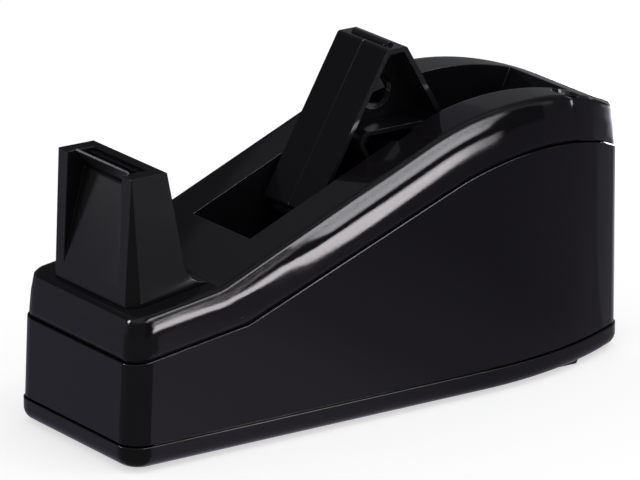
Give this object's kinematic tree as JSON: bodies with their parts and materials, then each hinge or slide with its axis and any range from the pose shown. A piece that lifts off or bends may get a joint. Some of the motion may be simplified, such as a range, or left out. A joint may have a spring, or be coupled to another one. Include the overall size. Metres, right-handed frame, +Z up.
{
  "type": "tape dispenser",
  "caption": "Weighted desktop tape dispenser with a long open well, a lift-out triangular tape reel, a serrated cutter on a front tower and a pen hole in the rear rail.",
  "frame": {"origin": "on the desk plane under the middle of the body, the centre of the bounding box's bottom face", "axes": "+Z up, +X from the cutter tower towards the rear, +Y to the left-hand side seen from the rear; the well runs along X"},
  "size_m": [0.214, 0.0716, 0.1228],
  "materials": {
    "gloss_black_plastic": "gloss moulded plastic",
    "satin_black_plastic": "satin moulded plastic",
    "black_rubber": "matt rubber",
    "cast_ballast": "plain cast plate",
    "blade_steel": "bright spring steel",
    "axle_steel": "turned steel",
    "grip_plastic": "gloss moulded plastic"
  },
  "bodies": {
    "base": {"base_pan": "satin_black_plastic", "foot_pad_1": "black_rubber", "foot_pad_2": "black_rubber", "foot_pad_3": "black_rubber", "foot_pad_4": "black_rubber", "ballast_plate": "cast_ballast", "ballast_block": "cast_ballast", "lower_body": "gloss_black_plastic", "top_cover": "gloss_black_plastic", "cutter_tower": "satin_black_plastic", "blade": "blade_steel", "blade_holder": "satin_black_plastic"},
    "axle": {"reel_axle": "axle_steel", "axle_shoe_left": "satin_black_plastic", "axle_shoe_right": "satin_black_plastic"},
    "reel": {"reel_left": "gloss_black_plastic", "reel_right": "gloss_black_plastic"},
    "grip_1": {"core_grip_1": "grip_plastic"},
    "grip_2": {"core_grip_2": "grip_plastic"},
    "grip_3": {"core_grip_3": "grip_plastic"}
  },
  "joints": [
    {"name": "axle_lift", "type": "slide", "parent": "base", "child": "axle", "axis": [0, 0, 1], "range_m": [0, 0.06]},
    {"name": "reel_spin", "type": "hinge", "parent": "axle", "child": "reel", "pos_m": [0.0144, 0, 0.084], "axis": [0, 1, 0], "continuous": true},
    {"name": "grip_1_press", "type": "slide", "parent": "reel", "child": "grip_1", "axis": [0, 0, 1], "range_m": [-0.001, 0], "stiffness_N_per_m": 300, "springref_m": 0.001},
    {"name": "grip_2_press", "type": "slide", "parent": "reel", "child": "grip_2", "axis": [0.866, 0, -0.5], "range_m": [-0.001, 0], "stiffness_N_per_m": 300, "springref_m": 0.001},
    {"name": "grip_3_press", "type": "slide", "parent": "reel", "child": "grip_3", "axis": [-0.866, 0, -0.5], "range_m": [-0.001, 0], "stiffness_N_per_m": 300, "springref_m": 0.001}
  ]
}
